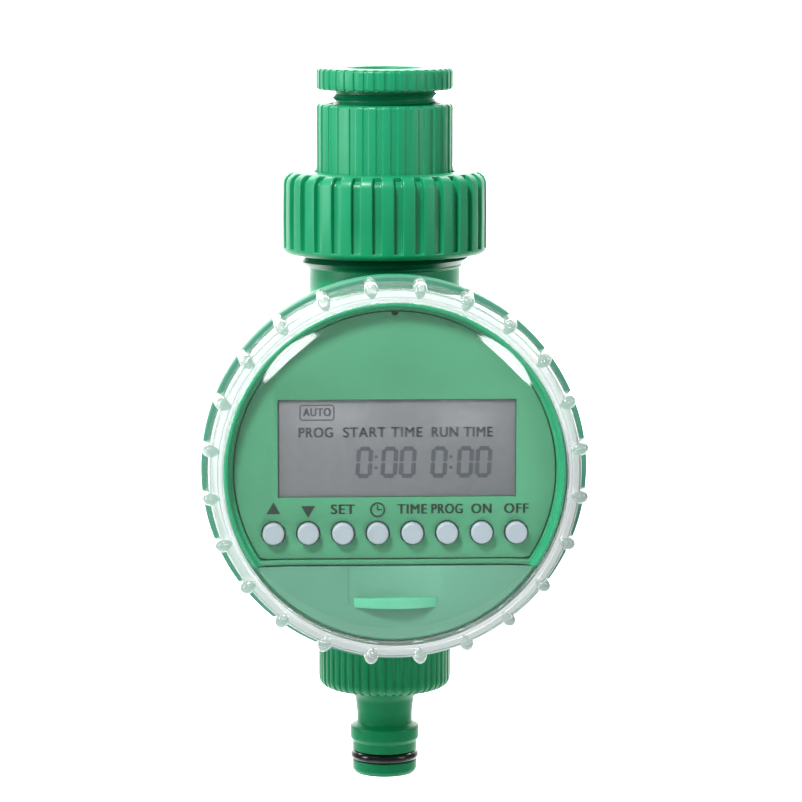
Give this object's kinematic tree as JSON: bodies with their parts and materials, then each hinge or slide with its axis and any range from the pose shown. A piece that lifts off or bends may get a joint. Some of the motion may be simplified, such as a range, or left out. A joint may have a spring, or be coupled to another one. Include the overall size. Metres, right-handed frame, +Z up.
{
  "type": "drip irrigation timer",
  "caption": "Battery garden water timer: round case with clear screw-on cover, display, keys and battery drawer, on a motor-driven ball valve between a tap nut and a hose spigot.",
  "frame": {"origin": "centre of the reducer's top face, where the tap enters", "axes": "+Z up along the water pipe, out of the tap inlet; -Y is the side with the display; +X is the viewer's right when facing the display"},
  "size_m": [0.0906, 0.0913, 0.177],
  "materials": {
    "green_plastic": "satin moulded green plastic",
    "panel_plastic": "matt light green printed panel",
    "clear_plastic": "clear polished plastic",
    "key_plastic": "pale grey-blue moulded keys",
    "gear_plastic": "natural white moulded plastic",
    "black_rubber": "black rubber",
    "white_seal": "white seal material",
    "display_glass": "grey liquid crystal glass",
    "board_laminate": "green circuit laminate",
    "cell_sleeve": "dark printed cell sleeve",
    "bright_steel": "plated steel",
    "brass": "turned brass"
  },
  "bodies": {
    "timer_body": {"valve_body": "green_plastic", "outlet_tube": "green_plastic", "ball_seat_upper": "white_seal", "ball_seat_lower": "white_seal", "rear_housing": "green_plastic", "front_housing": "green_plastic", "housing_gasket": "black_rubber", "face_plate": "panel_plastic", "lcd_glass": "display_glass", "lcd_frame": "gear_plastic", "circuit_board": "board_laminate", "case_screw_1": "bright_steel", "case_screw_2": "bright_steel", "case_screw_3": "bright_steel", "case_screw_4": "bright_steel", "board_screw_1": "bright_steel", "board_screw_2": "bright_steel", "gearbox_base": "gear_plastic", "gearbox_lid": "gear_plastic", "motor": "bright_steel", "gear_pin_first": "bright_steel", "gear_pin_second": "bright_steel", "limit_switch_open": "black_rubber", "limit_switch_shut": "black_rubber", "stem_bush": "brass", "contact_spring": "bright_steel", "contact_plate": "bright_steel"},
    "valve": {"valve_ball": "gear_plastic", "valve_stem": "brass", "stem_o_ring": "black_rubber", "output_gear": "gear_plastic"},
    "second_gear": {"second_gear": "gear_plastic"},
    "first_gear": {"first_gear": "gear_plastic"},
    "motor_pinion": {"motor_pinion": "gear_plastic"},
    "button_up": {"button_up": "key_plastic"},
    "button_down": {"button_down": "key_plastic"},
    "button_set": {"button_set": "key_plastic"},
    "button_clock": {"button_clock": "key_plastic"},
    "button_time": {"button_time": "key_plastic"},
    "button_program": {"button_program": "key_plastic"},
    "button_on": {"button_on": "key_plastic"},
    "button_off": {"button_off": "key_plastic"},
    "cover_seal": {"cover_seal": "white_seal"},
    "clear_cover": {"clear_cover": "clear_plastic"},
    "battery_drawer": {"battery_drawer": "green_plastic", "battery_left": "cell_sleeve", "battery_right": "cell_sleeve", "battery_link": "bright_steel"},
    "tap_adapter": {"tap_adapter": "green_plastic", "inlet_washer": "black_rubber", "inlet_filter": "gear_plastic"},
    "coupling_nut": {"coupling_nut": "green_plastic"},
    "reducer_washer": {"reducer_washer": "black_rubber"},
    "reducer": {"reducer": "green_plastic"},
    "connector_washer": {"connector_washer": "black_rubber"},
    "hose_connector": {"hose_connector": "green_plastic", "connector_o_ring": "black_rubber"}
  },
  "joints": [
    {"name": "valve_turn", "type": "hinge", "parent": "timer_body", "child": "valve", "pos_m": [0, -0.02, -0.082], "axis": [0, 1, 0], "range_deg": [0, 90]},
    {"name": "second_gear_turn", "type": "hinge", "parent": "timer_body", "child": "second_gear", "pos_m": [0.01212, -0.022, -0.089], "axis": [0, 1, 0], "range_deg": [-270.1, 0]},
    {"name": "first_gear_turn", "type": "hinge", "parent": "timer_body", "child": "first_gear", "pos_m": [0, -0.025, -0.096], "axis": [0, 1, 0], "range_deg": [0, 810.1]},
    {"name": "motor_pinion_turn", "type": "hinge", "parent": "timer_body", "child": "motor_pinion", "pos_m": [-0.014, -0.028, -0.096], "axis": [0, 1, 0], "range_deg": [-2430.1, 0]},
    {"name": "button_up_press", "type": "slide", "parent": "timer_body", "child": "button_up", "axis": [0, 1, 0], "range_m": [0, 0.001], "stiffness_N_per_m": 1200},
    {"name": "button_down_press", "type": "slide", "parent": "timer_body", "child": "button_down", "axis": [0, 1, 0], "range_m": [0, 0.001], "stiffness_N_per_m": 1200},
    {"name": "button_set_press", "type": "slide", "parent": "timer_body", "child": "button_set", "axis": [0, 1, 0], "range_m": [0, 0.001], "stiffness_N_per_m": 1200},
    {"name": "button_clock_press", "type": "slide", "parent": "timer_body", "child": "button_clock", "axis": [0, 1, 0], "range_m": [0, 0.001], "stiffness_N_per_m": 1200},
    {"name": "button_time_press", "type": "slide", "parent": "timer_body", "child": "button_time", "axis": [0, 1, 0], "range_m": [0, 0.001], "stiffness_N_per_m": 1200},
    {"name": "button_program_press", "type": "slide", "parent": "timer_body", "child": "button_program", "axis": [0, 1, 0], "range_m": [0, 0.001], "stiffness_N_per_m": 1200},
    {"name": "button_on_press", "type": "slide", "parent": "timer_body", "child": "button_on", "axis": [0, 1, 0], "range_m": [0, 0.001], "stiffness_N_per_m": 1200},
    {"name": "button_off_press", "type": "slide", "parent": "timer_body", "child": "button_off", "axis": [0, 1, 0], "range_m": [0, 0.001], "stiffness_N_per_m": 1200},
    {"name": "cover_lift", "type": "slide", "parent": "timer_body", "child": "cover_seal", "axis": [0, -1, 0], "range_m": [0, 0.06501]},
    {"name": "cover_turn", "type": "hinge", "parent": "cover_seal", "child": "clear_cover", "pos_m": [0, -0.055, -0.0916], "axis": [0, -1, 0], "range_deg": [0, 1170]},
    {"name": "drawer_slide", "type": "slide", "parent": "timer_body", "child": "battery_drawer", "axis": [0, -1, 0], "range_m": [0, 0.04801]},
    {"name": "inlet_lift", "type": "slide", "parent": "timer_body", "child": "tap_adapter", "axis": [0, 0, 1], "range_m": [0, 0.01155]},
    {"name": "nut_turn", "type": "hinge", "parent": "tap_adapter", "child": "coupling_nut", "pos_m": [0, 0, -0.036], "axis": [0, 0, 1], "range_deg": [0, 1800]},
    {"name": "reducer_lift", "type": "slide", "parent": "tap_adapter", "child": "reducer_washer", "axis": [0, 0, 1], "range_m": [0, 0.01135]},
    {"name": "reducer_turn", "type": "hinge", "parent": "reducer_washer", "child": "reducer", "pos_m": [0, 0, -0.01], "axis": [0, 0, 1], "range_deg": [0, 2250]},
    {"name": "connector_drop", "type": "slide", "parent": "timer_body", "child": "connector_washer", "axis": [0, 0, -1], "range_m": [0, 0.0109]},
    {"name": "connector_turn", "type": "hinge", "parent": "connector_washer", "child": "hose_connector", "pos_m": [0, 0, -0.15], "axis": [0, 0, -1], "range_deg": [0, 2160]}
  ],
  "couplings": [
    {"joint": "second_gear_turn", "follows": "valve_turn", "ratio": -3},
    {"joint": "first_gear_turn", "follows": "valve_turn", "ratio": 9},
    {"joint": "motor_pinion_turn", "follows": "valve_turn", "ratio": -27},
    {"joint": "cover_lift", "follows": "cover_turn", "m_per_rad": 0.0031831},
    {"joint": "drawer_slide", "follows": "cover_turn", "m_per_rad": 0.0023506},
    {"joint": "inlet_lift", "follows": "nut_turn", "m_per_rad": 0.00036749},
    {"joint": "reducer_lift", "follows": "reducer_turn", "m_per_rad": 0.00028871},
    {"joint": "connector_drop", "follows": "connector_turn", "m_per_rad": 0.00028871}
  ]
}
